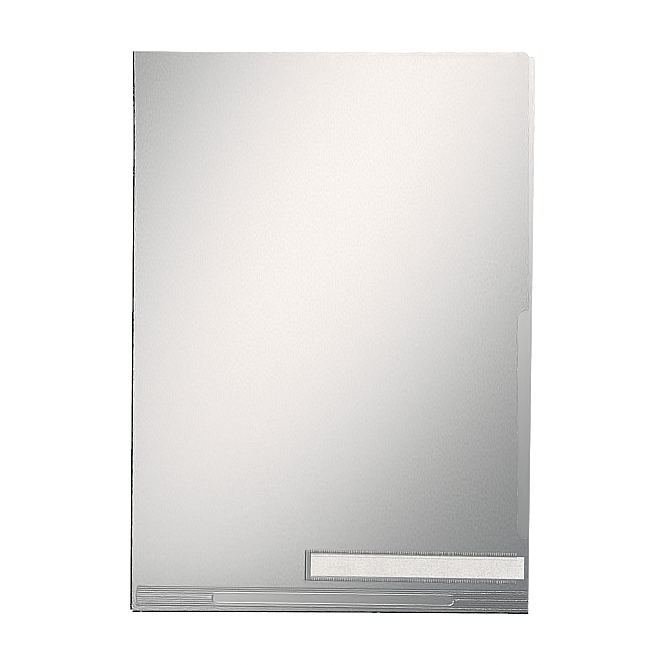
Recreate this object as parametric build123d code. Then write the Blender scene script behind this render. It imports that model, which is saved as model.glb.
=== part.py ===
from build123d import *
import math
import os

# A clear plastic document sleeve for A4 paper, closed along its left and bottom
# edges and open at the top and right.  One film is folded along the left edge
# and welded along the bottom.  The front carries a ribbed strip, a label pocket
# with a loose card, and a thumb notch in its right edge.
#
# Lengths are in millimetres.  Sheet coordinates start at the lower left corner of
# the closed sleeve, x to the right, y up the sheet, z out of the front face.  At
# the end everything is moved so that the origin is under the middle of the box.

# ---- film -------------------------------------------------------------------
FILM_T = 0.20            # film thickness
POCKET_GAP = 0.50        # room between the two sheets when empty
FRONT_W = 220.0          # front sheet, width and height
FRONT_H = 311.0
CORNER_R = 2.6           # rounded open corner of both sheets
BACK_SKEW_X = 3.8        # the fold is not quite square, so the back sheet's open
BACK_SKEW_Y = -2.3       # corner stands out beyond the front one by this much

# ---- closed edges -----------------------------------------------------------
FOLD_LEG = FILM_T + POCKET_GAP / 2   # width of the fold along the left edge
BEAD_W = 1.00            # width of the fused bead along the bottom edge
CORNER_RELIEF = 1.20     # fold and bead both stop this far from the corner

# ---- thumb notch in the front sheet -----------------------------------------
NOTCH_Y0 = 41.2
NOTCH_Y1 = 167.4
NOTCH_DEPTH = 6.1
NOTCH_R = 5.3            # inner corners
NOTCH_LIP_R = 0.6        # outer corners

# ---- bend line of the front sheet's loose corner -----------------------------
BEND_TOP_X = 15.0        # where the bend line meets the top edge
BEND_LOW_Y = 50.2        # where it meets the notch
BEND_GAP = 0.10          # clearance between the two parts of the front sheet

# ---- ribbed strip ------------------------------------------------------------
STRIP_X0 = 3.5
STRIP_X1 = 219.6
STRIP_MID_Y = 8.0        # height of the middle of the strip, half way along
STRIP_TILT = -0.53       # degrees
RIB_COUNT = 10
RIB_PITCH = 1.165
RIB_W = 0.72
RIB_H = 0.12
STRIP_SKIN = 0.06        # thickness of the embossed skin between the ribs
STRIP_R = 2.0            # rounded corners at the strip's left end
PLAQUE_X0 = 45.7         # flat oblong field in the strip
PLAQUE_X1 = 178.5
PLAQUE_H = 4.7
PLAQUE_DROP = 0.58       # the field lies this far below the strip's middle
PLAQUE_RIM = 0.55

# ---- label pocket ------------------------------------------------------------
POCKET_X0 = 96.3
POCKET_X1 = 213.6
POCKET_MID_Y = 25.3      # half way along
POCKET_H = 17.0          # over the welds
LABEL_TILT = -0.70       # degrees
WELD_W = 1.70            # top and bottom welds
END_WELD_W = 3.30        # closed end
WELD_PITCH = 1.10        # serrations
WELD_TOP = 0.50          # peak height over the front sheet
WELD_VALLEY = 0.32
WINDOW_T = 0.14
CARD_CLEAR = 0.06
CARD_L = 117.8
CARD_H = 12.1
CARD_T = 0.20
CARD_START = 3.45        # card's closed end, from the pocket's left end
CARD_UP = 0.40           # card sits this much above the pocket's middle

# ---- heights -----------------------------------------------------------------
Z_BACK = FILM_T
Z_FRONT0 = FILM_T + POCKET_GAP
Z_FRONT1 = Z_FRONT0 + FILM_T
Z_WINDOW0 = Z_FRONT1 + WELD_VALLEY
Z_CARD0 = Z_FRONT1 + CARD_CLEAR


def polygon(points):
    return Face(Wire.make_polygon([Vector(x, y, 0) for x, y in points], close=True))


def rounded(face, corners):
    """Rounds the named corners of a flat face; corners holds (x, y, radius)."""
    for x, y, r in corners:
        v = min(face.vertices(), key=lambda p: (p.X - x) ** 2 + (p.Y - y) ** 2)
        face = face.fillet_2d(r, [v])
    return face


def plate(face, z0, thickness):
    return extrude(face.moved(Location((0, 0, z0))), amount=thickness, dir=(0, 0, 1))


def along(x, y, tilt):
    """Placement of a strip whose own x axis is turned by tilt degrees."""
    return Location((x, y, 0), (0, 0, tilt))


# ---- back sheet ---------------------------------------------------------------
back_tr = (FRONT_W + BACK_SKEW_X, FRONT_H + BACK_SKEW_Y)
back_top_left_y = FRONT_H + BACK_SKEW_Y * FOLD_LEG / back_tr[0]
back_low_right_x = FRONT_W + BACK_SKEW_X * BEAD_W / back_tr[1]
back_face = rounded(
    polygon([(FOLD_LEG, BEAD_W), (back_low_right_x, BEAD_W), back_tr, (FOLD_LEG, back_top_left_y)]),
    [(*back_tr, CORNER_R)],
)
back_sheet = plate(back_face, 0.0, FILM_T)

# ---- front sheet, whole, then parted along the bend line -----------------------
notch_x = FRONT_W - NOTCH_DEPTH
front_face = rounded(
    polygon(
        [
            (FOLD_LEG, BEAD_W), (FRONT_W, BEAD_W), (FRONT_W, NOTCH_Y0), (notch_x, NOTCH_Y0),
            (notch_x, NOTCH_Y1), (FRONT_W, NOTCH_Y1), (FRONT_W, FRONT_H), (FOLD_LEG, FRONT_H),
        ]
    ),
    [
        (FRONT_W, FRONT_H, CORNER_R),
        (notch_x, NOTCH_Y0, NOTCH_R),
        (notch_x, NOTCH_Y1, NOTCH_R),
        (FRONT_W, NOTCH_Y0, NOTCH_LIP_R),
        (FRONT_W, NOTCH_Y1, NOTCH_LIP_R),
    ],
)
front_whole = plate(front_face, Z_FRONT0, FILM_T)

bend_a = Vector(BEND_TOP_X, FRONT_H, 0)
bend_b = Vector(notch_x, BEND_LOW_Y, 0)
bend_dir = (bend_b - bend_a).normalized()
bend_out = Vector(-bend_dir.Y, bend_dir.X, 0)   # towards the loose corner


def side_of_bend(sign):
    """A block on one side of the bend line, half the clearance away from it."""
    a = bend_a - bend_dir * 100 + bend_out * (sign * BEND_GAP / 2)
    b = bend_b + bend_dir * 100 + bend_out * (sign * BEND_GAP / 2)
    far = bend_out * (sign * 500)
    pts = [a, b, b + far, a + far]
    if sign < 0:
        pts.reverse()
    return plate(polygon([(p.X, p.Y) for p in pts]), Z_FRONT0 - 1, FILM_T + 2)


loose_corner = front_whole & side_of_bend(+1)
front_sheet = front_whole & side_of_bend(-1)
# The tab is the loose corner's margin above the notch, which the thumb turns up.
beyond_notch = plate(
    polygon([(notch_x, -50), (notch_x + 100, -50), (notch_x + 100, FRONT_H + 50), (notch_x, FRONT_H + 50)]),
    Z_FRONT0 - 1, FILM_T + 2,
)
front_flap = loose_corner - beyond_notch
thumb_tab = loose_corner & beyond_notch

# ---- folded left edge -----------------------------------------------------------
fold_r = FOLD_LEG        # the film turns through a half circle
fold_profile = Wire(
    [
        Edge.make_three_point_arc((fold_r, 0, 0), (0, 0, fold_r), (fold_r, 0, 2 * fold_r)),
        Edge.make_line((fold_r, 0, 2 * fold_r), (fold_r, 0, 2 * fold_r - FILM_T)),
        Edge.make_three_point_arc(
            (fold_r, 0, 2 * fold_r - FILM_T), (FILM_T, 0, fold_r), (fold_r, 0, FILM_T)
        ),
        Edge.make_line((fold_r, 0, FILM_T), (fold_r, 0, 0)),
    ]
)
spine_fold = extrude(
    Face(fold_profile).moved(Location((0, CORNER_RELIEF, 0))),
    amount=FRONT_H - CORNER_RELIEF,
    dir=(0, 1, 0),
)

# ---- fused bead along the bottom edge --------------------------------------------
bead_r = Z_FRONT1 / 2
bead_profile = Wire(
    [
        Edge.make_line((0, BEAD_W, 0), (0, bead_r, 0)),
        Edge.make_three_point_arc((0, bead_r, 0), (0, 0, bead_r), (0, bead_r, Z_FRONT1)),
        Edge.make_line((0, bead_r, Z_FRONT1), (0, BEAD_W, Z_FRONT1)),
        Edge.make_line((0, BEAD_W, Z_FRONT1), (0, BEAD_W, 0)),
    ]
)
bottom_weld = extrude(
    Face(bead_profile).moved(Location((CORNER_RELIEF, 0, 0))),
    amount=FRONT_W - CORNER_RELIEF,
    dir=(1, 0, 0),
)

# ---- ribbed strip ------------------------------------------------------------------
strip_len = STRIP_X1 - STRIP_X0
strip_h = (RIB_COUNT - 1) * RIB_PITCH + RIB_W + 0.3
strip_mid_x = (STRIP_X0 + STRIP_X1) / 2


def stadium(length, height):
    return SlotOverall(length, height).face()


def rib(x0, x1, y):
    """One rib with a rounded crest, running along the strip from x0 to x1."""
    profile = Wire(
        [
            Edge.make_three_point_arc(
                (x0, y - RIB_W / 2, STRIP_SKIN), (x0, y, STRIP_SKIN + RIB_H), (x0, y + RIB_W / 2, STRIP_SKIN)
            ),
            Edge.make_line((x0, y + RIB_W / 2, STRIP_SKIN), (x0, y + RIB_W / 2, STRIP_SKIN / 2)),
            Edge.make_line((x0, y + RIB_W / 2, STRIP_SKIN / 2), (x0, y - RIB_W / 2, STRIP_SKIN / 2)),
            Edge.make_line((x0, y - RIB_W / 2, STRIP_SKIN / 2), (x0, y - RIB_W / 2, STRIP_SKIN)),
        ]
    )
    return extrude(Face(profile), amount=x1 - x0, dir=(1, 0, 0))


half = strip_len / 2
plaque_x = (PLAQUE_X0 + PLAQUE_X1) / 2 - strip_mid_x
plaque_l = PLAQUE_X1 - PLAQUE_X0
skin = rounded(
    polygon([(-half, -strip_h / 2), (half, -strip_h / 2), (half, strip_h / 2), (-half, strip_h / 2)]),
    [(-half, -strip_h / 2, STRIP_R), (-half, strip_h / 2, STRIP_R)],
)
strip = plate(skin, 0.0, STRIP_SKIN)
for i in range(RIB_COUNT):
    y = (i - (RIB_COUNT - 1) / 2) * RIB_PITCH
    start = 1.4 if i in (0, RIB_COUNT - 1) else 0.7 if i in (1, RIB_COUNT - 2) else 0.4
    strip = strip + rib(-half + start, half - 0.1, y)
field = Location((plaque_x, -PLAQUE_DROP, 0))
strip = strip - plate((field * stadium(plaque_l, PLAQUE_H)), STRIP_SKIN, 1.0)
rim = plate(field * stadium(plaque_l, PLAQUE_H), STRIP_SKIN / 2, STRIP_SKIN / 2 + RIB_H) - plate(
    field * stadium(plaque_l - 2 * PLAQUE_RIM, PLAQUE_H - 2 * PLAQUE_RIM), STRIP_SKIN, 1.0
)
strip = strip + rim
ribbed_strip = strip.moved(Location((strip_mid_x, STRIP_MID_Y, Z_FRONT1), (0, 0, STRIP_TILT)))

# ---- label pocket -------------------------------------------------------------------
pocket_len = POCKET_X1 - POCKET_X0
pocket_at = Location(((POCKET_X0 + POCKET_X1) / 2, POCKET_MID_Y, 0), (0, 0, LABEL_TILT))
px0, px1 = -pocket_len / 2, pocket_len / 2


def serrated(x0, x1, y0, y1):
    """A weld bar with a serrated top, its teeth set along x."""
    n = int((x1 - x0) / WELD_PITCH)
    step = (x1 - x0) / n
    lo, hi = Z_FRONT1 + WELD_VALLEY, Z_FRONT1 + WELD_TOP
    pts = [(x0, Z_FRONT1)]
    for i in range(n):
        a = x0 + i * step
        pts += [(a, lo), (a + 0.22 * step, hi), (a + 0.62 * step, hi), (a + 0.84 * step, lo)]
    pts += [(x1, lo), (x1, Z_FRONT1)]
    wire = Wire.make_polygon([Vector(x, y0, z) for x, z in pts], close=True)
    return extrude(Face(wire), amount=y1 - y0, dir=(0, 1, 0))


def end_bar(x0, x1, y0, y1):
    """The weld across the closed end: three grooves between two ridges."""
    lo, hi = Z_FRONT1 + WELD_VALLEY, Z_FRONT1 + WELD_TOP
    w = x1 - x0
    pts = [
        (x0, Z_FRONT1), (x0, lo), (x0 + 0.10 * w, lo), (x0 + 0.20 * w, hi), (x0 + 0.36 * w, hi),
        (x0 + 0.44 * w, lo), (x0 + 0.56 * w, lo), (x0 + 0.64 * w, hi), (x0 + 0.80 * w, hi),
        (x0 + 0.90 * w, lo), (x1, lo), (x1, Z_FRONT1),
    ]
    wire = Wire.make_polygon([Vector(x, y0, z) for x, z in pts], close=True)
    return extrude(Face(wire), amount=y1 - y0, dir=(0, 1, 0))


ph = POCKET_H / 2
label_weld_end = end_bar(px0, px0 + END_WELD_W, -ph, ph).moved(pocket_at)
label_weld_top = serrated(px0 + END_WELD_W, px1, ph - WELD_W, ph).moved(pocket_at)
label_weld_bottom = serrated(px0 + END_WELD_W, px1, -ph, -ph + WELD_W).moved(pocket_at)
window_l = pocket_len - END_WELD_W
label_window = (
    Location((px0 + END_WELD_W + window_l / 2, 0, Z_WINDOW0 + WINDOW_T / 2))
    * Box(window_l, POCKET_H - 2 * WELD_W, WINDOW_T)
).moved(pocket_at)
label_card = (
    Location((px0 + CARD_START + CARD_L / 2, CARD_UP, Z_CARD0 + CARD_T / 2)) * Box(CARD_L, CARD_H, CARD_T)
).moved(pocket_at)

# ---- place the origin and write the pieces --------------------------------------------
pieces = {
    "back_sheet": back_sheet,
    "front_sheet": front_sheet,
    "front_flap": front_flap,
    "thumb_tab": thumb_tab,
    "spine_fold": spine_fold,
    "bottom_weld": bottom_weld,
    "ribbed_strip": ribbed_strip,
    "label_window": label_window,
    "label_weld_top": label_weld_top,
    "label_weld_bottom": label_weld_bottom,
    "label_weld_end": label_weld_end,
    "label_card": label_card,
}
boxes = [p.bounding_box() for p in pieces.values()]
low = [min(b.min.X for b in boxes), min(b.min.Y for b in boxes), min(b.min.Z for b in boxes)]
high = [max(b.max.X for b in boxes), max(b.max.Y for b in boxes), max(b.max.Z for b in boxes)]
mid_x, mid_y = (low[0] + high[0]) / 2, (low[1] + high[1]) / 2
to_origin = Location((-mid_x, -mid_y, -low[2]))

os.makedirs("parts", exist_ok=True)
for name, piece in pieces.items():
    export_step(piece.moved(to_origin), f"parts/{name}.step")

print("box", [round(h - l, 4) for l, h in zip(low, high)], "middle", round(mid_x, 4), round(mid_y, 4))
print("bend line from", [round(v, 4) for v in (bend_a.X - mid_x, bend_a.Y - mid_y, Z_FRONT1)],
      "to", [round(v, 4) for v in (bend_b.X - mid_x, bend_b.Y - mid_y, Z_FRONT1)],
      "direction", [round(v, 6) for v in (bend_dir.X, bend_dir.Y, bend_dir.Z)])
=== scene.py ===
import bisect
import math

import bmesh
import bpy
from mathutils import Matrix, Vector
from mathutils.geometry import delaunay_2d_cdt


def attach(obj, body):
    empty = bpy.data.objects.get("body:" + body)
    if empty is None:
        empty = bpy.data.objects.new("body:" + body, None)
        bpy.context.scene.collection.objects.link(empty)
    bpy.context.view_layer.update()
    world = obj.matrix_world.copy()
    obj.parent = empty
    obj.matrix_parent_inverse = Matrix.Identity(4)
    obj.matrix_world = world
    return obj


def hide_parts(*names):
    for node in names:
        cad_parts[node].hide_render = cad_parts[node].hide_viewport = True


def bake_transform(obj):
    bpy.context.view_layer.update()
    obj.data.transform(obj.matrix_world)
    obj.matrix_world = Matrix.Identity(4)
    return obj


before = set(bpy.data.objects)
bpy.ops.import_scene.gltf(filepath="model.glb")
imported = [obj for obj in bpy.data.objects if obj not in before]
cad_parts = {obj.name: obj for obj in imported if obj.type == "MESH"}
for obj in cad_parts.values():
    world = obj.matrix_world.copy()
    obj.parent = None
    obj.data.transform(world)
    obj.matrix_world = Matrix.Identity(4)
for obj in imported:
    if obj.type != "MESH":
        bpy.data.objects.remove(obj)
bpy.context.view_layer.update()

# ------------------------------------------------------------------ dimensions
# Sheet coordinates in millimetres: x right, y up the sheet, from the sleeve's
# lower left corner; z out of the front face.
MM = 0.001
OX, OY = 111.88405, 155.5          # sheet coordinates of the model's origin

FRONT_W, FRONT_H = 220.0, 311.0
Z_BACK = 0.20
Z_FRONT0, Z_FRONT1 = 0.70, 0.90
CORNER_R = 2.6
BACK_TR = (223.8, 308.7)
FOLD_W = 0.94                      # the dark folded edge, seen from the front
BEAD_W = 0.72                      # the dark fused bead, seen from the front
RELIEF = 1.20

NOTCH_Y0, NOTCH_Y1 = 41.2, 167.4
NOTCH_X = FRONT_W - 6.1
NOTCH_R, LIP_R = 5.3, 0.6

BEND_A = (15.0, FRONT_H)
BEND_B = (NOTCH_X, 50.2)

STRIP_X0, STRIP_X1 = 3.5, 219.6
STRIP_MID_Y, STRIP_TILT = 8.0, -0.53
RIBS, RIB_PITCH, SKIN, STRIP_R = 10, 1.165, 0.06, 2.0
RIB_H = 0.080
PLAQUE_X0, PLAQUE_X1, PLAQUE_H, PLAQUE_DROP = 45.7, 178.5, 4.7, 0.58

POCKET_X0, POCKET_X1, POCKET_MID_Y, POCKET_H = 96.3, 213.6, 25.3, 17.0
LABEL_TILT = -0.70
WELD_W, END_WELD_W, WELD_PITCH = 1.70, 3.30, 1.16
WELD_TOP, WELD_VALLEY = 0.50, 0.32
WINDOW_T = 0.14
CARD_L, CARD_H, CARD_T, CARD_START, CARD_UP, CARD_CLEAR = 117.8, 12.1, 0.20, 3.45, 0.40, 0.06


def smooth01(t):
    t = max(0.0, min(1.0, t))
    return t * t * (3 - 2 * t)


def bow(x, y):
    """The fold is not quite straight: its middle stands in by half a millimetre."""
    if x > 60:
        return 0.0
    t = y / 245.0
    s = t ** 1.3 if t < 1 else max(0.0, 1 - ((y - 245.0) / 66.0) ** 2)
    return 0.55 * max(0.0, s) * (1 - max(0.0, x) / 60.0) ** 2


def dip(y):
    """The front film comes down a little towards the weld along the bottom."""
    return 0.09 * max(0.0, 1 - y / 26.0) ** 2


def droop(x, y):
    """The welded lower edge hangs down by a little over half a millimetre at its right end."""
    return 0.62 * max(0.0, (x - 60.0) / 160.0) ** 1.6 * max(0.0, 1 - y / 9.0)


def sag(x, y):
    """The top edge lies in by a little away from the fold."""
    return 0.42 * smooth01((x - 2.0) / 35.0) * (1 - 0.45 * smooth01((x - 130.0) / 80.0)) * max(0.0, 1 - (FRONT_H - y) / 30.0)


def row(x, y, z):
    """Sheet millimetres to the model's metres."""
    if z > 0.6:
        z -= dip(y)
    return ((x + bow(x, y) - OX) * MM, (y - droop(x, y) - sag(x, y) - OY) * MM, z * MM)


def wobble(s, seed):
    return (math.sin(s * 0.37 + seed) + 0.6 * math.sin(s * 0.91 + 2.1 * seed) + 0.4 * math.sin(s * 2.3 + 0.7 * seed)) / 2.0


def uneven(i, seed):
    """A fixed number between 0 and 1 for the i-th of something, so that a row of them isn't all alike."""
    x = math.sin(i * 12.9898 + seed * 78.233) * 43758.5453
    return x - math.floor(x)


# ------------------------------------------------------------------- materials
def principled(name, color, roughness, ior=1.5, alpha=1.0):
    mat = bpy.data.materials.new(name)
    mat.use_nodes = True
    nt = mat.node_tree
    bsdf = nt.nodes["Principled BSDF"]
    bsdf.inputs["Base Color"].default_value = (*color, 1.0)
    bsdf.inputs["Roughness"].default_value = roughness
    bsdf.inputs["IOR"].default_value = ior
    bsdf.inputs["Alpha"].default_value = alpha
    return mat, nt, bsdf


def object_coords(nt, scale):
    tc = nt.nodes.new("ShaderNodeTexCoord")
    mp = nt.nodes.new("ShaderNodeMapping")
    mp.inputs["Scale"].default_value = scale
    nt.links.new(tc.outputs["Object"], mp.inputs["Vector"])
    return mp.outputs["Vector"]


def noise(nt, vec, detail=2.0, rough=0.5):
    n = nt.nodes.new("ShaderNodeTexNoise")
    n.inputs["Scale"].default_value = 1.0
    n.inputs["Detail"].default_value = detail
    n.inputs["Roughness"].default_value = rough
    nt.links.new(vec, n.inputs["Vector"])
    return n.outputs["Fac"]


def map_range(nt, value, a0, a1, b0, b1):
    m = nt.nodes.new("ShaderNodeMapRange")
    m.inputs["From Min"].default_value = a0
    m.inputs["From Max"].default_value = a1
    m.inputs["To Min"].default_value = b0
    m.inputs["To Max"].default_value = b1
    nt.links.new(value, m.inputs["Value"])
    return m.outputs["Result"]


def ramp(nt, value, stops):
    r = nt.nodes.new("ShaderNodeValToRGB")
    while len(r.color_ramp.elements) < len(stops):
        r.color_ramp.elements.new(0.5)
    for e, (pos, col) in zip(r.color_ramp.elements, stops):
        e.position = pos
        e.color = (*col, 1.0)
    nt.links.new(value, r.inputs["Fac"])
    return r.outputs["Color"]


def bump(nt, bsdf, height, distance):
    b = nt.nodes.new("ShaderNodeBump")
    b.inputs["Strength"].default_value = 1.0
    b.inputs["Distance"].default_value = distance
    nt.links.new(height, b.inputs["Height"])
    nt.links.new(b.outputs["Normal"], bsdf.inputs["Normal"])


def total(nt, a, b):
    m = nt.nodes.new("ShaderNodeMath")
    m.operation = "ADD"
    nt.links.new(a, m.inputs[0])
    nt.links.new(b, m.inputs[1])
    return m.outputs[0]


def times(color, k):
    return tuple(c * k for c in color)


FILM_TINT = (0.173, 0.175, 0.177)
FILM_ROUGH = 0.1865
FILM_IOR = 1.75
FILM_ALPHA = 0.78


def make_film(name, grained, tint, alpha):
    mat, nt, bsdf = principled(name, tint, FILM_ROUGH, FILM_IOR, alpha)
    # haze in the film makes it paler where it is seen at a low angle
    bsdf.inputs["Sheen Weight"].default_value = 1.0
    bsdf.inputs["Sheen Roughness"].default_value = 0.55
    if grained:
        fine = noise(nt, object_coords(nt, (1.0 / 0.00070, 1.0 / 0.0018, 1.0 / 0.01)), 0.0, 0.5)
        nt.links.new(map_range(nt, fine, 0.3, 0.7, FILM_ROUGH - 0.011, FILM_ROUGH + 0.011), bsdf.inputs["Roughness"])
        nt.links.new(ramp(nt, fine, [(0.3, times(tint, 0.92)), (0.7, times(tint, 1.08))]), bsdf.inputs["Base Color"])
        bump(nt, bsdf, fine, 0.0000118)
    else:
        fine = noise(nt, object_coords(nt, (1.0 / 0.0012, 1.0 / 0.012, 1.0 / 0.01)), 2.0, 0.5)
        nt.links.new(map_range(nt, fine, 0.3, 0.7, FILM_ROUGH - 0.004, FILM_ROUGH + 0.004), bsdf.inputs["Roughness"])
        nt.links.new(ramp(nt, fine, [(0.3, times(tint, 0.98)), (0.7, times(tint, 1.02))]), bsdf.inputs["Base Color"])
        bump(nt, bsdf, fine, 0.000004)
    return mat


film_outer = make_film("film_grained", True, FILM_TINT, FILM_ALPHA)
# the smooth inner faces are painted 8 % lighter than the grained film, standing in for the extra light that shows where
# only one sheet lies
film_inner = make_film("film_smooth", False, times(FILM_TINT, 1.08), 0.90)

# the notch's cut edges: painted mostly dark as shade, with dashes of painted glint
film_edge, nt, bsdf = principled("film_cut_edge_painted_glints", FILM_TINT, 0.2, FILM_IOR)
n = noise(nt, object_coords(nt, (220, 220, 220)), 3.0, 0.6)
nt.links.new(ramp(nt, n, [(0.36, (0.09, 0.09, 0.09)), (0.48, (0.20, 0.20, 0.20)), (0.60, (0.30, 0.30, 0.30)), (0.74, (0.80, 0.80, 0.80))]), bsdf.inputs["Base Color"])
nt.links.new(map_range(nt, n, 0.3, 0.7, 0.18, 0.22), bsdf.inputs["Roughness"])

# pale dashes painted on the fold's inner side: a painted highlight where the crease catches light
fold_highlight_mat, nt, bsdf = principled("fold_painted_highlight", FILM_TINT, FILM_ROUGH, FILM_IOR)
n = noise(nt, object_coords(nt, (60, 300, 60)), 2.0, 0.6)
nt.links.new(ramp(nt, n, [(0.45, FILM_TINT), (0.60, (0.40, 0.40, 0.40))]), bsdf.inputs["Base Color"])
nt.links.new(map_range(nt, n, 0.3, 0.7, 0.2, 0.3), bsdf.inputs["Roughness"])


def make_dark(name, base, rough):
    mat, nt, bsdf = principled(name, base, rough, 1.2)
    n = noise(nt, object_coords(nt, (500, 500, 500)), 3.0, 0.6)
    nt.links.new(map_range(nt, n, 0.3, 0.7, rough - 0.06, rough + 0.08), bsdf.inputs["Roughness"])
    nt.links.new(ramp(nt, n, [(0.3, times(base, 0.7)), (0.7, times(base, 1.4))]), bsdf.inputs["Base Color"])
    bump(nt, bsdf, n, 0.00003)
    return mat


# painted shade: the folded edge and the fused bead are made near black, standing in for the dark line of shade along
# the sleeve's left and bottom edges
fold_shade_mat = make_dark("fold_painted_shade", (0.004, 0.004, 0.004), 0.5)
bead_shade_mat = make_dark("bead_painted_shade", (0.006, 0.006, 0.007), 0.5)


def make_relief_painted_shade(name, rough, rough_low, dark, light, mottle, pits):
    """Film with painted shade in its creases and, on its crests, the film's own colour or a painted glint. The mesh's
    own per-point values say which.
    """
    mat, nt, bsdf = principled(name, light, rough, FILM_IOR)
    bsdf.inputs["Sheen Weight"].default_value = 1.0
    bsdf.inputs["Sheen Roughness"].default_value = 0.55
    at = nt.nodes.new("ShaderNodeAttribute")
    at.attribute_name = "painted_shade"
    grit = noise(nt, object_coords(nt, (1.0 / 0.0030, 1.0 / 0.0012, 1.0 / 0.01)), 2.0, 0.6)
    painted_shade = total(nt, at.outputs["Fac"], map_range(nt, grit, 0.25, 0.75, -mottle, mottle))
    nt.links.new(ramp(nt, painted_shade, [(0.0, dark), (1.0, light)]), bsdf.inputs["Base Color"])
    nt.links.new(map_range(nt, painted_shade, 0.1, 0.55, rough_low, rough), bsdf.inputs["Roughness"])
    bump(nt, bsdf, grit, pits)
    return mat


# ribs: painted shade in the grooves; welds: painted glints on the teeth in a pale colour, with painted shade between
# them
rib_mat = make_relief_painted_shade("film_ribbed_painted_shade", FILM_ROUGH, 0.5, times(FILM_TINT, 0.03), FILM_TINT, 0.02, 0.0000005)
weld_mat = make_relief_painted_shade("film_welded_painted_glints", FILM_ROUGH, 0.5, (0.006, 0.006, 0.006), (0.45, 0.452, 0.455), 0.03, 0.000001)

window_mat, nt, bsdf = principled("window_film", (0.90, 0.89, 0.87), 0.16, 1.5, 0.10)
n = noise(nt, object_coords(nt, (1.0 / 0.0014, 1.0 / 0.0014, 1.0 / 0.01)), 2.0, 0.5)
nt.links.new(map_range(nt, n, 0.3, 0.7, 0.12, 0.24), bsdf.inputs["Roughness"])
bump(nt, bsdf, n, 0.000015)
# painted shade: where the mesh's own per-point values are high, the window's film is painted darker and made less clear
at = nt.nodes.new("ShaderNodeAttribute")
at.attribute_name = "painted_shade"
nt.links.new(map_range(nt, at.outputs["Fac"], 0.0, 1.0, 0.10, 0.55), bsdf.inputs["Alpha"])
nt.links.new(ramp(nt, at.outputs["Fac"], [(0.0, (0.90, 0.89, 0.88)), (0.3, (0.50, 0.50, 0.50)), (0.6, (0.03, 0.03, 0.03)), (1.0, (0.02, 0.02, 0.02))]), bsdf.inputs["Base Color"])

card_mat, nt, bsdf = principled("label_paper", (0.91, 0.90, 0.88), 0.85, 1.4)
fib = noise(nt, object_coords(nt, (1.0 / 0.0010, 1.0 / 0.0010, 1.0 / 0.01)), 2.5, 0.6)
cloud = noise(nt, object_coords(nt, (90, 90, 90)), 3.0, 0.6)
mixf = total(nt, map_range(nt, fib, 0.25, 0.75, 0.0, 0.8), map_range(nt, cloud, 0.3, 0.7, 0.0, 0.2))
nt.links.new(ramp(nt, mixf, [(0.15, (0.70, 0.71, 0.695)), (0.5, (0.835, 0.845, 0.83)), (0.9, (0.95, 0.955, 0.945))]), bsdf.inputs["Base Color"])
nt.links.new(map_range(nt, fib, 0.3, 0.7, 0.8, 0.95), bsdf.inputs["Roughness"])
bump(nt, bsdf, fib, 0.00004)


# ---------------------------------------------------------------------- meshes
def mesh_object(name, verts, faces, mats, face_mat=None, sharp_deg=40, painted_shade=None):
    me = bpy.data.meshes.new(name)
    me.from_pydata([row(*v) for v in verts], [], faces)
    for m in mats:
        me.materials.append(m)
    if face_mat:
        me.polygons.foreach_set("material_index", face_mat)
    if painted_shade:
        at = me.attributes.new("painted_shade", "FLOAT", "POINT")
        at.data.foreach_set("value", painted_shade)
    bm = bmesh.new()
    bm.from_mesh(me)
    bmesh.ops.recalc_face_normals(bm, faces=bm.faces)
    for f in bm.faces:
        f.smooth = True
    for e in bm.edges:
        if len(e.link_faces) == 2 and e.calc_face_angle(0.0) > math.radians(sharp_deg):
            e.smooth = False
    bm.to_mesh(me)
    bm.free()
    ob = bpy.data.objects.new(name, me)
    bpy.context.scene.collection.objects.link(ob)
    return ob


def spaced(a, b, step):
    n = max(1, round(abs(b - a) / step))
    return [a + (b - a) * i / n for i in range(n)]


def line(p, q, free, step=3.0):
    n = max(1, math.ceil(math.hypot(q[0] - p[0], q[1] - p[1]) / step))
    return [(p[0] + (q[0] - p[0]) * i / n, p[1] + (q[1] - p[1]) * i / n, free if i else 0.0) for i in range(n)]


def arc(cx, cy, r, a0, a1, n, free=1.0):
    return [(cx + r * math.cos(math.radians(a0 + (a1 - a0) * i / n)), cy + r * math.sin(math.radians(a0 + (a1 - a0) * i / n)), free) for i in range(n + 1)]


LIP, CHAMFER = 0.10, 0.18     # widths of a cut edge's lip, painted dark with dashes of painted glint, and of the chamfer inside it
LIP_DROP = 0.10


def inset(outline, d):
    out = []
    n = len(outline)
    for i in range(n):
        (ax, ay, _), (bx, by, _), (cx, cy, _) = outline[i - 1], outline[i], outline[(i + 1) % n]
        l1, l2 = math.hypot(bx - ax, by - ay), math.hypot(cx - bx, cy - by)
        n1, n2 = (-(by - ay) / l1, (bx - ax) / l1), (-(cy - by) / l2, (cx - bx) / l2)
        k = d * (0.25 + 0.75 * outline[i][2]) / (1 + n1[0] * n2[0] + n1[1] * n2[1])
        out.append((bx + (n1[0] + n2[0]) * k, by + (n1[1] + n2[1]) * k))
    return out


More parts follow.
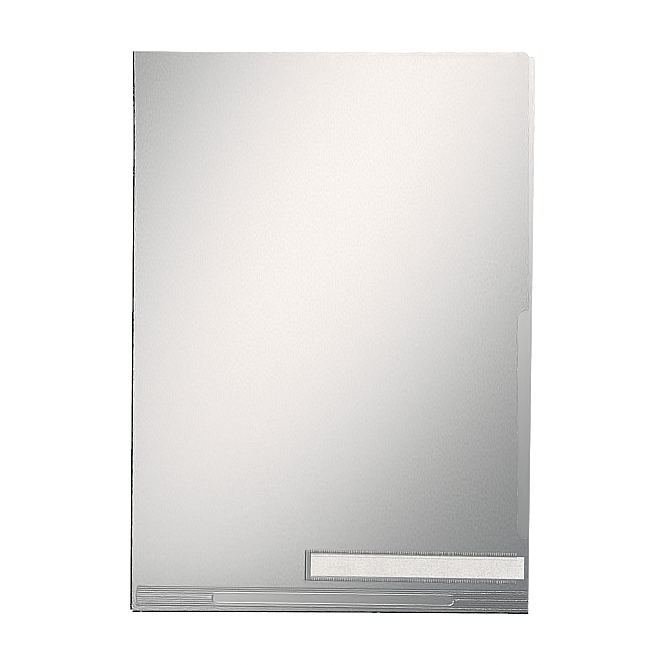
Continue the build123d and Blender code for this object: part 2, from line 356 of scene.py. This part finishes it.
def film_sheet(name, outline, inside, z_top, z_low, lift, mats):
    """A closed sheet of film with chamfered cut edges. outline runs anticlockwise as (x, y, free edge or not),
    inside holds more (x, y) points of the surface, lift gives small relief at (x, y)."""
    m = len(outline)
    pts, kind, edges = [], [], []
    for k, d in enumerate((0.0, LIP, CHAMFER)):
        ring = inset(outline, d) if d else [(x, y) for x, y, _ in outline]
        base = len(pts)
        pts += ring
        kind += [(k, f) for _, _, f in outline]
        edges += [(base + i, base + (i + 1) % m) for i in range(m)]
    near = [(x, y) for x, y, _ in outline]
    for x, y in inside:
        pts.append((x, y))
        kind.append((3, 0.0))
    res = delaunay_2d_cdt([Vector(p) for p in pts], edges, [], 1, 1e-7)
    out_pts, tris, orig = res[0], res[2], res[3]
    kinds = [kind[min(o)] if o else (3, 0.0) for o in orig]
    slot_of = {}
    for i, o in enumerate(orig):
        for q in o:
            slot_of[q] = i
    verts = []
    for p, (k, f) in zip(out_pts, kinds):
        z = z_top + lift(p.x, p.y) - (LIP_DROP * f if k < 2 else 0.0)
        verts.append((p.x, p.y, z))
    c = len(verts)
    verts += [(p.x, p.y, z_low + lift(p.x, p.y)) for p in out_pts]
    faces, fm = [], []
    for t in tris:
        lip = all(kinds[i][0] < 2 for i in t) and max(kinds[i][1] for i in t) > 0.5
        faces += [tuple(t), tuple(i + c for i in reversed(t))]
        fm += [2 if lip else 0, 1]
    for i in range(m):
        p, q = slot_of[i], slot_of[(i + 1) % m]
        faces.append((q, p, p + c, q + c))
        fm.append(2 if kinds[p][1] > 0.5 else 1)
    return mesh_object(name, verts, faces, mats, fm, sharp_deg=10)


def clear_of(points, outline, gap):
    """The points that are at least gap away from every point of the outline."""
    cells = {}
    for x, y, _ in outline:
        cells.setdefault((int(x // gap), int(y // gap)), []).append((x, y))
    out = []
    for x, y in points:
        i, j = int(x // gap), int(y // gap)
        if all(
            (x - a) ** 2 + (y - b) ** 2 > gap * gap
            for di in (-1, 0, 1) for dj in (-1, 0, 1) for a, b in cells.get((i + di, j + dj), ())
        ):
            out.append((x, y))
    return out


def back_point(u, v):
    """The back sheet is a rectangle u, v whose open corner is pulled out of square."""
    s, t = u / FRONT_W, v / FRONT_H
    return (u + (BACK_TR[0] - FRONT_W) * s * t, v + (BACK_TR[1] - FRONT_H) * s * t)


def back_top(x):
    """Height of the back sheet's top edge at x."""
    return FRONT_H + (BACK_TR[1] - FRONT_H) * x / BACK_TR[0]


PLAIN = 0.15                  # how much of that an edge shows that isn't the notch's

# ---- front film
front_outline = line((1.9, BEAD_W), (FRONT_W, BEAD_W), 0.0)
front_outline += line((FRONT_W, BEAD_W), (FRONT_W, NOTCH_Y0 - LIP_R), PLAIN)
front_outline += arc(FRONT_W - LIP_R, NOTCH_Y0 - LIP_R, LIP_R, 0, 90, 5)
front_outline += arc(NOTCH_X + NOTCH_R, NOTCH_Y0 + NOTCH_R, NOTCH_R, 270, 180, 14)
front_outline += line((NOTCH_X, NOTCH_Y0 + NOTCH_R), (NOTCH_X, NOTCH_Y1 - NOTCH_R), 1.0)[1:]
front_outline += arc(NOTCH_X + NOTCH_R, NOTCH_Y1 - NOTCH_R, NOTCH_R, 180, 90, 14)
front_outline += arc(FRONT_W - LIP_R, NOTCH_Y1 + LIP_R, LIP_R, -90, 0, 5)
front_outline += line((FRONT_W, NOTCH_Y1 + LIP_R), (FRONT_W, FRONT_H - CORNER_R), PLAIN)[1:]
front_outline += arc(FRONT_W - CORNER_R, FRONT_H - CORNER_R, CORNER_R, 0, 90, 10, PLAIN)
front_outline += line((FRONT_W - CORNER_R, FRONT_H), (FOLD_W, FRONT_H), PLAIN)[1:]
front_outline += line((FOLD_W, FRONT_H), (FOLD_W, 2.0), 0.0)
front_outline += line((FOLD_W, 2.0), (1.9, BEAD_W), 0.0)


def front_has(x, y):
    if not (FOLD_W < x < FRONT_W and BEAD_W < y < FRONT_H):
        return False
    if x > NOTCH_X and NOTCH_Y0 < y < NOTCH_Y1:
        return x < NOTCH_X + NOTCH_R and min(y - NOTCH_Y0, NOTCH_Y1 - y) < NOTCH_R and math.hypot(
            x - NOTCH_X - NOTCH_R, max(NOTCH_R - (y - NOTCH_Y0), NOTCH_R - (NOTCH_Y1 - y))
        ) > NOTCH_R
    return True


grid = [(3.0 + 4.4 * i, 3.0 + 4.4 * j) for i in range(50) for j in range(71)]
inside = clear_of([p for p in grid if front_has(*p)], front_outline, 2.4)
# where the front film leaves the back sheet's top edge it sinks a little
drape = [(x, back_top(x) + d) for x in spaced(132.0, 216.0, 2.8) for d in (0.30, 0.0, -0.30)]
inside = [p for p in inside if not (p[0] > 130 and abs(p[1] - back_top(p[0])) < 0.8)] + drape


def front_lift(x, y):
    if x < 128:
        return 0.0
    return -0.022 * smooth01((y - back_top(x) + 0.3) / 0.6) * smooth01((x - 128) / 40) * smooth01((213 - x) / 9)


front_film = film_sheet("front_film", front_outline, inside, Z_FRONT1, Z_FRONT0, front_lift, [film_outer, film_inner, film_edge])
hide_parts("front_sheet", "front_flap", "thumb_tab")
bend_dx, bend_dy = BEND_B[0] - BEND_A[0], BEND_B[1] - BEND_A[1]
bend_len = math.hypot(bend_dx, bend_dy)
out_x, out_y = -bend_dy / bend_len, bend_dx / bend_len
mid_x, mid_y = (BEND_A[0] + BEND_B[0]) / 2, (BEND_A[1] + BEND_B[1]) / 2
row(mid_x, mid_y, Z_FRONT1)
row(mid_x + 95 * out_x, mid_y + 95 * out_y, Z_FRONT1)
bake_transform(front_film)

# ---- back film
flat = line((1.9, BEAD_W), (FRONT_W, BEAD_W), 0.0) + line((FRONT_W, BEAD_W), (FRONT_W, FRONT_H - CORNER_R), PLAIN)
flat += arc(FRONT_W - CORNER_R, FRONT_H - CORNER_R, CORNER_R, 0, 90, 10, PLAIN)
flat += line((FRONT_W - CORNER_R, FRONT_H), (FOLD_W, FRONT_H), PLAIN)[1:]
flat += line((FOLD_W, FRONT_H), (FOLD_W, 2.0), 0.0) + line((FOLD_W, 2.0), (1.9, BEAD_W), 0.0)
back_outline = [(*back_point(u, v), f) for u, v, f in flat]
inside = clear_of([back_point(x, y) for x, y in grid if x < FRONT_W and y < FRONT_H], back_outline, 2.4)
back_film = film_sheet("back_film", back_outline, inside, Z_BACK, 0.0, lambda x, y: 0.0, [film_inner, film_outer, film_edge])
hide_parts("back_sheet")
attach(back_film, "folder")


def swept(name, section, stations, mats, body, node, place, mat_of=None):
    """A closed bar: section is a closed loop of 2D points, place puts a section point at a station."""
    n = len(section)
    verts = [place(s, p) for s in stations for p in section]
    faces = []
    for k in range(len(stations) - 1):
        for i in range(n):
            j = (i + 1) % n
            faces.append((k * n + i, k * n + j, (k + 1) * n + j, (k + 1) * n + i))
    fm = [mat_of(i) if mat_of else 0 for k in range(len(stations) - 1) for i in range(n)] + [0, 0]
    faces.append(tuple(range(n - 1, -1, -1)))
    last = (len(stations) - 1) * n
    faces.append(tuple(last + i for i in range(n)))
    ob = mesh_object(name, verts, faces, mats, fm)
    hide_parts(node)
    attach(ob, body)
    return ob


# ---- the folded edge: a U of film whose legs lap onto the two sheets
fold_r = 0.45
outer, inner = [], []
for i in range(13):
    a = math.radians(-90 - 180 * i / 12)
    outer.append((fold_r + fold_r * math.cos(a), fold_r + (fold_r + (0.03 if math.sin(a) > 0 else 0.0)) * math.sin(a)))
    inner.append((fold_r + 0.25 * math.cos(a), fold_r + 0.25 * math.sin(a)))
fold_section = [(FOLD_W + 0.02, 0.0), (0.7, 0.0)] + outer + [(0.7, 0.935), (FOLD_W + 0.02, 0.925), (FOLD_W + 0.26, 0.905)]
# the face on the fold's inner side that carries the painted highlight
HIGHLIGHT_SIDE = len(fold_section) - 2
fold_section += [(FOLD_W + 0.24, 0.86), (FOLD_W + 0.02, 0.74), (0.7, 0.70)] + inner[::-1] + [(0.7, 0.2), (FOLD_W + 0.02, 0.18)]


def fold_place(s, p):
    x, z = p
    if x < 0.3:
        x += 0.03 * wobble(s, 1.0)
    if x > 0.6 and z > 0.9:
        x += 0.10 * wobble(1.7 * s, 3.0)
    return (x, s, max(0.0, z))


swept(
    "folded_edge", fold_section, [RELIEF + (FRONT_H - RELIEF) * i / 420 for i in range(421)], [fold_shade_mat, fold_highlight_mat],
    "folder", "spine_fold", fold_place, lambda i: 1 if i == HIGHLIGHT_SIDE else 0,
)

# ---- the fused bead along the bottom
bead_section = [(BEAD_W + 0.02, 0.0), (0.42, 0.0)]
for i in range(1, 12):
    a = math.radians(-90 - 180 * i / 12)
    bead_section.append((0.42 + 0.42 * math.cos(a), 0.45 + 0.45 * math.sin(a)))
bead_section += [(0.42, 0.9), (BEAD_W + 0.03, 0.905)]


def bead_place(s, p):
    y, z = p
    if y < 0.3:
        y += 0.05 * wobble(1.3 * s, 4.0)
    if y > 0.6 and z > 0.8:
        y += 0.10 * wobble(1.9 * s, 6.0)
    if z > 0.6:
        z += 0.03 * (1 + wobble(s, 2.0))
    return (s, max(0.0, y), z)


swept(
    "bottom_bead", bead_section, [RELIEF + (FRONT_W - RELIEF) * i / 330 for i in range(331)], [bead_shade_mat],
    "folder", "bottom_weld", bead_place,
)


def relief_plate(name, us, vs, height, painted_shade, base, centre, tilt, mats, node, left=None, sharp_deg=50):
    """A closed plate whose top is a height field over u (along) and v (across). left gives the u at which a row starts."""
    c, s = math.cos(math.radians(tilt)), math.sin(math.radians(tilt))
    u_min, u_max = us[0], us[-1]

    def along(u, v):
        if left is None:
            return u
        a = left(v)
        return a + (u - u_min) * (u_max - a) / (u_max - u_min)

    nr, nc = len(vs), len(us)
    verts, tones = [], []
    for v in vs:
        for u0 in us:
            u = along(u0, v)
            verts.append((centre[0] + u * c - v * s, centre[1] + u * s + v * c, base + height(u, v)))
            tones.append(painted_shade(u, v))
    k = nr * nc
    ring = [i for i in range(nc)]
    ring += [j * nc + nc - 1 for j in range(1, nr)]
    ring += [(nr - 1) * nc + i for i in range(nc - 2, -1, -1)]
    ring += [j * nc for j in range(nr - 2, 0, -1)]
    for r in ring:
        verts.append((verts[r][0], verts[r][1], base - 0.03))
        tones.append(tones[r])
    faces = []
    for j in range(nr - 1):
        for i in range(nc - 1):
            faces.append((j * nc + i, j * nc + i + 1, (j + 1) * nc + i + 1, (j + 1) * nc + i))
    m = len(ring)
    for q in range(m):
        p = (q + 1) % m
        faces.append((ring[p], ring[q], k + q, k + p))
    faces.append(tuple(k + q for q in range(m - 1, -1, -1)))
    ob = mesh_object(name, verts, faces, mats, sharp_deg=sharp_deg, painted_shade=tones)
    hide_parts(node)
    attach(ob, "folder")
    return ob


# ---- ribbed strip
strip_mid_x = (STRIP_X0 + STRIP_X1) / 2
half = (STRIP_X1 - STRIP_X0) / 2
plaque_u = (PLAQUE_X0 + PLAQUE_X1) / 2 - strip_mid_x
plaque_a = (PLAQUE_X1 - PLAQUE_X0) / 2 - PLAQUE_H / 2
strip_v = (RIBS - 1) * RIB_PITCH / 2 + 0.62


def plaque_distance(u, v):
    """Distance from the oblong field's outline, negative inside."""
    du = max(0.0, abs(u - plaque_u) - plaque_a)
    return math.hypot(du, v + PLAQUE_DROP) - PLAQUE_H / 2


def strip_left(v):
    d = max(0.0, abs(v) - (strip_v - STRIP_R))
    return -half + STRIP_R - math.sqrt(max(0.0, STRIP_R ** 2 - d * d))


def strip_edge(u, v):
    """0 on the strip's left outline, 1 well inside."""
    return smooth01((u - strip_left(v)) / 0.5)


RISE, WALL = 0.48, 0.03         # widths of the groove below each rib, which carries painted shade, and of a rib's steep sides


def rib_at(v):
    """Which rib v belongs to, and how far above the middle of the groove below it v lies."""
    k = math.floor((v + RISE / 2) / RIB_PITCH + RIBS / 2 - 0.5 + 0.5)
    k = max(0, min(RIBS - 1, k))
    return k, v - (k - (RIBS - 1) / 2) * RIB_PITCH


def rib_wave(v):
    k, t = rib_at(v)
    up, down = (t - RISE / 2) / WALL, (RIB_PITCH - RISE / 2 - t) / WALL
    return max(0.0, min(1.0, up, down))


def rib_mask(u, v):
    d = plaque_distance(u, v)
    return smooth01((u - strip_left(v) - 0.25) / 0.7) * smooth01((d - (1.5 if v < -3.2 else 0.75)) / 0.25)


EDGE_W, EDGE_H = 0.40, 0.018    # the raised line round the oblong field: width of each side, height


def rib_height(u, v):
    d = plaque_distance(u, v)
    h = RIB_H * rib_wave(v) * rib_mask(u, v)
    edge = EDGE_H * max(0.0, 1 - abs(d - EDGE_W) / EDGE_W) * (1 + 1.2 * smooth01((u - plaque_u - plaque_a) / 1.2))
    return 0.006 + (SKIN * 0.5) * strip_edge(u, v) + max(h, edge)


# how deep each groove's shade is at the strip's left end, from the lowest up; further right they are alike
LEFT_SHADE = (1.0, 1.0, 0.75, 0.75, 0.75, 0.58, 0.95, 0.85, 0.95, 1.0)


# painted shade: dark grooves below the ribs, dark on the downward-facing sides and left end of the field's raised
# outline, and the strip painted darker towards its right end where less light falls; the field and the strip's left
# outline are also made darker
def rib_painted_shade(u, v):
    k, t = rib_at(v)
    right = smooth01((u + half - 20.0) / 110.0)
    dark = smooth01((RISE / 2 + 0.03 - abs(t)) / 0.06) * rib_mask(u, v) * (0.88 + 0.12 * wobble(0.35 * u, 1.9 * k)) * (LEFT_SHADE[k] + (1 - LEFT_SHADE[k]) * right)
    d = plaque_distance(u, v)
    if -0.1 < d < 2 * EDGE_W + 0.1:
        du = u - plaque_u
        gx = (du - math.copysign(plaque_a, du)) if abs(du) > plaque_a else 0.0
        gy = v + PLAQUE_DROP
        g = math.hypot(gx, gy)
        side = smooth01((d - EDGE_W + 0.04) / 0.08) * 2 - 1
        on = smooth01((EDGE_W + 0.03 - abs(d - EDGE_W)) / 0.06)
        dark = max(dark, on * min(0.95, max(0.0, -side * gy / g, -1.3 * gx / g) ** 0.7 * (0.62 + 0.4 * max(0.0, gx / g))))
    inside = smooth01((0.1 - d) / 0.2)
    return (1 - dark) * (1 - 0.45 * inside) * (1 - (0.32 - 0.29 * inside) * right) * (0.70 + 0.30 * strip_edge(u, v))


us = set()
for a, b, step in (
    (-half, -half + 3.0, 0.12), (-half + 3.0, plaque_u - plaque_a - 3.2, 4.0), (plaque_u - plaque_a - 3.2, plaque_u - plaque_a + 1.5, 0.14),
    (plaque_u - plaque_a + 1.5, plaque_u + plaque_a - 1.5, 5.0), (plaque_u + plaque_a - 1.5, plaque_u + plaque_a + 3.2, 0.14),
    (plaque_u + plaque_a + 3.2, half - 1.0, 4.0), (half - 1.0, half, 0.2),
):
    us.update(round(x, 5) for x in spaced(a, b, step))
us.add(half)
vs = {-strip_v, strip_v}
for i in range(RIBS):
    m = (i - (RIBS - 1) / 2) * RIB_PITCH
    vs.update(m + t for t in (-0.30, -0.27, -0.24, -0.19, 0.0, 0.19, 0.24, 0.27, 0.30, 0.44, 0.60, 0.73))
for d in (-0.06, 0.0, 0.06, 0.14, 0.26, 0.34, 0.40, 0.46, 0.54, 0.66, 0.74, 0.80, 0.88):
    vs.update(k * (PLAQUE_H / 2 + d) - PLAQUE_DROP for k in (-1, 1))
vs.update(-PLAQUE_DROP + PLAQUE_H / 2 * (i / 16 - 1) for i in range(33))
vs = sorted(round(v, 4) for v in vs if abs(v) <= strip_v)
vs = [v for i, v in enumerate(vs) if i == 0 or v - vs[i - 1] > 0.004]
relief_plate(
    "rib_strip", sorted(us), vs, rib_height, rib_painted_shade, Z_FRONT1, (strip_mid_x, STRIP_MID_Y), STRIP_TILT,
    [rib_mat], "ribbed_strip", left=strip_left, sharp_deg=30,
)

# ---- label pocket
pocket_c = ((POCKET_X0 + POCKET_X1) / 2, POCKET_MID_Y)
pl = POCKET_X1 - POCKET_X0
ph = POCKET_H / 2


def pocket_at(u, v):
    c, s = math.cos(math.radians(LABEL_TILT)), math.sin(math.radians(LABEL_TILT))
    return (pocket_c[0] + u * c - v * s, pocket_c[1] + u * s + v * c)


u0, u1 = -pl / 2 + END_WELD_W, pl / 2
teeth = int((u1 - u0) / WELD_PITCH)


def between(u, pts):
    for (a, fa), (b, fb) in zip(pts, pts[1:]):
        if u <= b:
            return fa + (fb - fa) * smooth01((u - a) / (b - a))
    return pts[-1][1]


def weld_strip(name, v0, v1, node, seed, shift, slant):
    """A row of pressed teeth that taper downwards, with painted glints on the teeth and painted shade between them, no
    two quite alike. The row lies lower than the strip's middle by shift, and by slant more at its right end."""
    wide = [1 + 0.5 * (uneven(i, seed) - 0.5) for i in range(teeth)]
    k = (u1 - u0) / sum(wide)
    start = [-(u1 - u0) / 2]
    for w in wide:
        start.append(start[-1] + w * k)
    bright = [0.65 + 0.35 * uneven(i, seed + 5.0) for i in range(teeth)]
    foot = [-0.50 + 0.55 * (uneven(i, seed + 9.0) - 0.5) for i in range(teeth)]

    def lowered(u, v):
        return v + shift + slant * (u / (u1 - u0) + 0.5)

    def tooth(u, v):
        i = max(0, min(teeth - 1, bisect.bisect_right(start, u) - 1))
        f = (u - start[i]) / (start[i + 1] - start[i])
        w = max(0.0, min(1.0, (v - foot[i]) / (0.85 - foot[i])))
        return i, smooth01((0.18 + 0.14 * w - abs(f - 0.5)) / 0.08 + 0.5) * smooth01(w / 0.15)

    def across(v):
        return smooth01((v + WELD_W / 2) / 0.14) * smooth01((WELD_W / 2 - v) / 0.14)

    def height(u, v):
        i, t = tooth(u, lowered(u, v))
        return WELD_VALLEY - 0.08 + (0.11 + 0.06 * t) * across(v)

    # painted glints on the teeth and painted shade between them
    def painted_shade(u, v):
        w = lowered(u, v)
        i, t = tooth(u, w)
        low = between(w, [(-0.85, 0.50), (-0.74, 0.44), (-0.58, 0.20), (-0.30, 0.12), (0.0, 0.02), (0.85, 0.02)])
        t = low + (bright[i] - low) * t
        return t + (0.45 - t) * smooth01((w - 0.78) / 0.20)

    us = [start[i] + (start[i + 1] - start[i]) * f / 16 for i in range(teeth) for f in range(16)] + [start[-1]]
    vs = [-WELD_W / 2 + WELD_W * i / 20 for i in range(21)]
    relief_plate(name, us, vs, height, painted_shade, Z_FRONT1, pocket_at((u0 + u1) / 2, (v0 + v1) / 2), LABEL_TILT, [weld_mat], node, sharp_deg=20)


weld_strip("weld_above_label", ph - WELD_W, ph, "label_weld_top", 1.0, 0.0, 0.40)
weld_strip("weld_below_label", -ph, -ph + WELD_W, "label_weld_bottom", 2.0, 0.15, 0.10)


def end_height(u, v):
    u -= 0.20
    z = between(u, [(-1.65, 0.05), (-1.20, 0.0), (-0.85, 0.13), (-0.35, 0.12), (-0.10, 0.06), (0.45, 0.05), (0.75, 0.14), (1.05, 0.13), (1.45, 0.0), (1.65, 0.0)])
    return WELD_VALLEY - 0.06 + z * smooth01((ph - abs(v)) / 0.6)


# painted highlight on the ridges' sides that face the light, painted shade on the sides that face away, and a dark line
# of painted shadow at the outer edge and in the gap by the card's end
def end_weld_painted_shade(u, v):
    u -= 0.20
    t = between(u, [(-1.85, 0.5), (-1.60, 0.42), (-1.38, 0.06), (-1.16, 0.0), (-1.02, 0.1), (-0.80, 1.0), (-0.55, 0.95), (-0.22, 0.42), (0.35, 0.45), (0.65, 0.55), (1.00, 0.75), (1.16, 0.5), (1.28, 0.0), (1.65, 0.0)])
    return 0.72 * max(t, 0.4 * (1 - smooth01((ph - abs(v)) / 0.5)))


relief_plate(
    "weld_at_pocket_end", [-END_WELD_W / 2 + END_WELD_W * i / 66 for i in range(67)], [-ph + POCKET_H * i / 60 for i in range(61)],
    end_height, end_weld_painted_shade, Z_FRONT1, pocket_at(-pl / 2 + END_WELD_W / 2, 0), LABEL_TILT, [weld_mat], "label_weld_end",
)


def thin_panel(name, u_a, u_b, rows, z_top, thick, mats, sag=0.0, nu=80, shade=None):
    """A thin closed panel in the pocket's own directions, crowned by sag. rows holds each row's height at the left and right end."""
    top, low, tones = [], [], []
    nv = len(rows) - 1
    v_a, v_b = rows[0][0], rows[-1][0]
    for va, vb in rows:
        for i in range(nu + 1):
            a = i / nu
            v = va + (vb - va) * a
            b = (v - v_a) / (v_b - v_a)
            p = pocket_at(u_a + (u_b - u_a) * a, v)
            z = z_top + sag * math.sin(math.pi * b) * (0.6 + 0.4 * math.sin(5.0 * a + 0.8))
            top.append((*p, z))
            low.append((*p, z - thick))
            tones.append(shade(a, v) if shade else 0.0)
    nc, nr = nu + 1, nv + 1
    k = nc * nr
    faces, fm = [], []
    for j in range(nv):
        for i in range(nu):
            a, b, c, d = j * nc + i, j * nc + i + 1, (j + 1) * nc + i + 1, (j + 1) * nc + i
            faces += [(a, b, c, d), (d + k, c + k, b + k, a + k)]
            fm += [0, 1]
    ring = [i for i in range(nc)] + [j * nc + nc - 1 for j in range(1, nr)]
    ring += [(nr - 1) * nc + i for i in range(nc - 2, -1, -1)] + [j * nc for j in range(nr - 2, 0, -1)]
    for p, q in zip(ring, ring[1:] + ring[:1]):
        faces.append((q, p, p + k, q + k))
        fm.append(2)
    return mesh_object(name, top + low, faces, mats, fm, painted_shade=tones + tones)


# the window's film is painted darker along a line just under the upper weld, with painted shade over the card's top
# edge and a painted shadow in the gap below the card
DARK_LINE_V = (5.0, 4.5)
win_v = ph - WELD_W
win_rows = [(v, v) for v in (-win_v, -win_v + 0.15, -win_v + 0.5, -win_v + 0.85, -win_v + 1.05, -win_v + 1.25)]
win_rows += [(v, v) for v in (-4.4, -3.2, -2.0, -0.8, 0.4, 1.6, 2.8, 3.6)]
win_rows += [(DARK_LINE_V[0] + d, DARK_LINE_V[1] + d) for d in (-0.42, -0.28, -0.14, 0.0, 0.14, 0.28, 0.42)]
win_rows += [(v, v) for v in (5.70, 5.86, 5.92, 6.0, 6.06, 6.30, 6.38, 6.44, 6.50, win_v)]


def win_shade(a, v):
    line = 0.30 * smooth01(1.6 - abs(v - DARK_LINE_V[0] - (DARK_LINE_V[1] - DARK_LINE_V[0]) * a) / 0.22) * (1 - 0.5 * a)
    gap = 0.30 * smooth01((a - 0.05) / 0.55) * smooth01((-win_v + 1.15 - v) / 0.2)
    rim = (0.42 + 0.10 * a) * smooth01((v - 5.86) / 0.2) - (0.38 - 0.16 * a) * smooth01((v - 6.38) / 0.12)
    return max(line, gap, rim)


window = thin_panel(
    "label_window_film", u0, u1, win_rows, Z_FRONT1 + WELD_VALLEY + WINDOW_T, WINDOW_T,
    [window_mat, window_mat, window_mat], sag=0.03, shade=win_shade,
)
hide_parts("label_window")
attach(window, "folder")

card_u = -pl / 2 + CARD_START
card = thin_panel(
    "label_paper_card", card_u, card_u + CARD_L, [(CARD_UP + CARD_H * (j / 12 - 0.5), CARD_UP + CARD_H * (j / 12 - 0.5) - 0.28) for j in range(13)],
    Z_FRONT1 + CARD_CLEAR + CARD_T, CARD_T, [card_mat, card_mat, card_mat],
)
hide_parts("label_card")
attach(card, "label_card")

# ----------------------------------------------------------------------- stage
floor_me = bpy.data.meshes.new("floor")
floor_me.from_pydata([(-6, -6, -0.00005), (6, -6, -0.00005), (6, 6, -0.00005), (-6, 6, -0.00005)], [], [(0, 1, 2, 3)])
floor = bpy.data.objects.new("floor", floor_me)
bpy.context.scene.collection.objects.link(floor)
floor_mat, nt, bsdf = principled("floor_white", (0.92, 0.92, 0.92), 0.9, 1.3)
bsdf.inputs["Emission Color"].default_value = (1, 1, 1, 1)
# a studio floor runs up into a white wall: it stays white far off, where the light no longer reaches
tc = nt.nodes.new("ShaderNodeTexCoord")
far = nt.nodes.new("ShaderNodeVectorMath")
far.operation = "LENGTH"
nt.links.new(tc.outputs["Object"], far.inputs[0])
nt.links.new(map_range(nt, far.outputs["Value"], 0.6, 4.0, 0.30, 0.75), bsdf.inputs["Emission Strength"])
floor_me.materials.append(floor_mat)

# ---------------------------------------------------------------------- camera
CAM_D = 2.2
FRAME_W = 0.36832                  # width of the picture at the sheet, in metres
tilt, roll = math.radians(2.4736), math.radians(0.1418)
look = Vector(((111.423 - OX) * MM, (154.747 - OY) * MM, 0.0009))
cam_data = bpy.data.cameras.new("camera")
cam_data.sensor_width = 36.0
cam_data.lens = 36.0 * CAM_D / FRAME_W
cam = bpy.data.objects.new("camera", cam_data)
bpy.context.scene.collection.objects.link(cam)
back = Vector((math.sin(roll) * math.sin(tilt), -math.cos(roll) * math.sin(tilt), math.cos(tilt)))
cam.location = look + back * CAM_D
cam.rotation_euler = (tilt, 0.0, roll)
bpy.context.scene.camera = cam

# ---------------------------------------------------------------------- lights
key_data = bpy.data.lights.new("key", "AREA")
key_data.shape = "ELLIPSE"
key_data.size = 2 * 0.648
key_data.size_y = 2 * 0.2315
key_data.energy = 25.2
key_data.color = (1.0, 1.0, 1.0)
key = bpy.data.objects.new("key", key_data)
bpy.context.scene.collection.objects.link(key)
key.location = (0.0221, 0.3139, 2.75)
key.rotation_euler = (0, 0, math.radians(61.75))

world = bpy.data.worlds.new("studio")
bpy.context.scene.world = world
world.use_nodes = True
wn = world.node_tree
bg = wn.nodes["Background"]
tc = wn.nodes.new("ShaderNodeTexCoord")
sep = wn.nodes.new("ShaderNodeSeparateXYZ")
wn.links.new(tc.outputs["Generated"], sep.inputs[0])
up = map_range(wn, sep.outputs["Z"], -1.0, 1.0, 0.0, 1.0)
side = (0.77, 0.77, 0.775)
sky = ramp(wn, up, [(0.0, (1, 1, 1)), (0.52, (1, 1, 1)), (0.60, side), (0.90, side), (0.965, times(side, 0.1)), (1.0, times(side, 0.1))])
wn.links.new(sky, bg.inputs["Color"])
bg.inputs["Strength"].default_value = 1.0

view = bpy.context.scene.view_settings
view.view_transform = "Standard"
view.look = "None"
view.exposure = 0.0
view.gamma = 1.0

# the picture is graded to a warm white in its highlights and crisped, as a product photograph is
scene = bpy.context.scene
scene.use_nodes = True
ct = scene.node_tree
ct.nodes.clear()
layers = ct.nodes.new("CompositorNodeRLayers")
to_eye = ct.nodes.new("CompositorNodeGamma")
to_eye.inputs["Gamma"].default_value = 1 / 2.2
crisp = ct.nodes.new("CompositorNodeFilter")
crisp.filter_type = "SHARPEN"
crisp.inputs["Fac"].default_value = 0.20
grade = ct.nodes.new("CompositorNodeCurveRGB")
grade.mapping.extend = "HORIZONTAL"
for curve, points in zip(grade.mapping.curves, (
    [(0.50, 0.496), (0.784, 0.788), (0.859, 0.867), (0.89, 0.902), (0.918, 0.934), (0.949, 0.971)],
    [(0.784, 0.786), (0.918, 0.914), (0.949, 0.951)],
    [(0.50, 0.506), (0.60, 0.597), (0.784, 0.780), (0.859, 0.853), (0.89, 0.878), (0.918, 0.902), (0.949, 0.925)],
)):
    for x, y in points:
        curve.points.new(x, y)
    for p in curve.points:
        p.handle_type = "VECTOR"
grade.mapping.update()
to_light = ct.nodes.new("CompositorNodeGamma")
to_light.inputs["Gamma"].default_value = 2.2
final = ct.nodes.new("CompositorNodeComposite")
ct.links.new(layers.outputs["Image"], to_eye.inputs["Image"])
ct.links.new(to_eye.outputs["Image"], grade.inputs["Image"])
ct.links.new(grade.outputs["Image"], crisp.inputs["Image"])
# beside the white floor the crisping draws no dark outline
least = ct.nodes.new("CompositorNodeMixRGB")
least.blend_type = "MULTIPLY"
least.inputs[0].default_value = 1.0
least.inputs[2].default_value = (0.97, 0.97, 0.97, 1.0)
held = ct.nodes.new("CompositorNodeMixRGB")
held.blend_type = "LIGHTEN"
held.inputs[0].default_value = 1.0
grey = ct.nodes.new("CompositorNodeRGBToBW")
white = ct.nodes.new("CompositorNodeMath")
white.operation = "GREATER_THAN"
white.inputs[1].default_value = 0.992
beside = ct.nodes.new("CompositorNodeDilateErode")
beside.distance = 2
pale = ct.nodes.new("CompositorNodeMath")
pale.operation = "GREATER_THAN"
pale.inputs[1].default_value = 0.44
where = ct.nodes.new("CompositorNodeMath")
where.operation = "MULTIPLY"
both = ct.nodes.new("CompositorNodeMixRGB")
ct.links.new(grade.outputs["Image"], least.inputs[1])
ct.links.new(crisp.outputs["Image"], held.inputs[1])
ct.links.new(least.outputs["Image"], held.inputs[2])
ct.links.new(grade.outputs["Image"], grey.inputs[0])
ct.links.new(grey.outputs[0], white.inputs[0])
ct.links.new(white.outputs[0], beside.inputs[0])
ct.links.new(grey.outputs[0], pale.inputs[0])
ct.links.new(beside.outputs[0], where.inputs[0])
ct.links.new(pale.outputs[0], where.inputs[1])
ct.links.new(where.outputs[0], both.inputs[0])
ct.links.new(crisp.outputs["Image"], both.inputs[1])
ct.links.new(held.outputs["Image"], both.inputs[2])
ct.links.new(both.outputs["Image"], to_light.inputs["Image"])
ct.links.new(to_light.outputs["Image"], final.inputs["Image"])
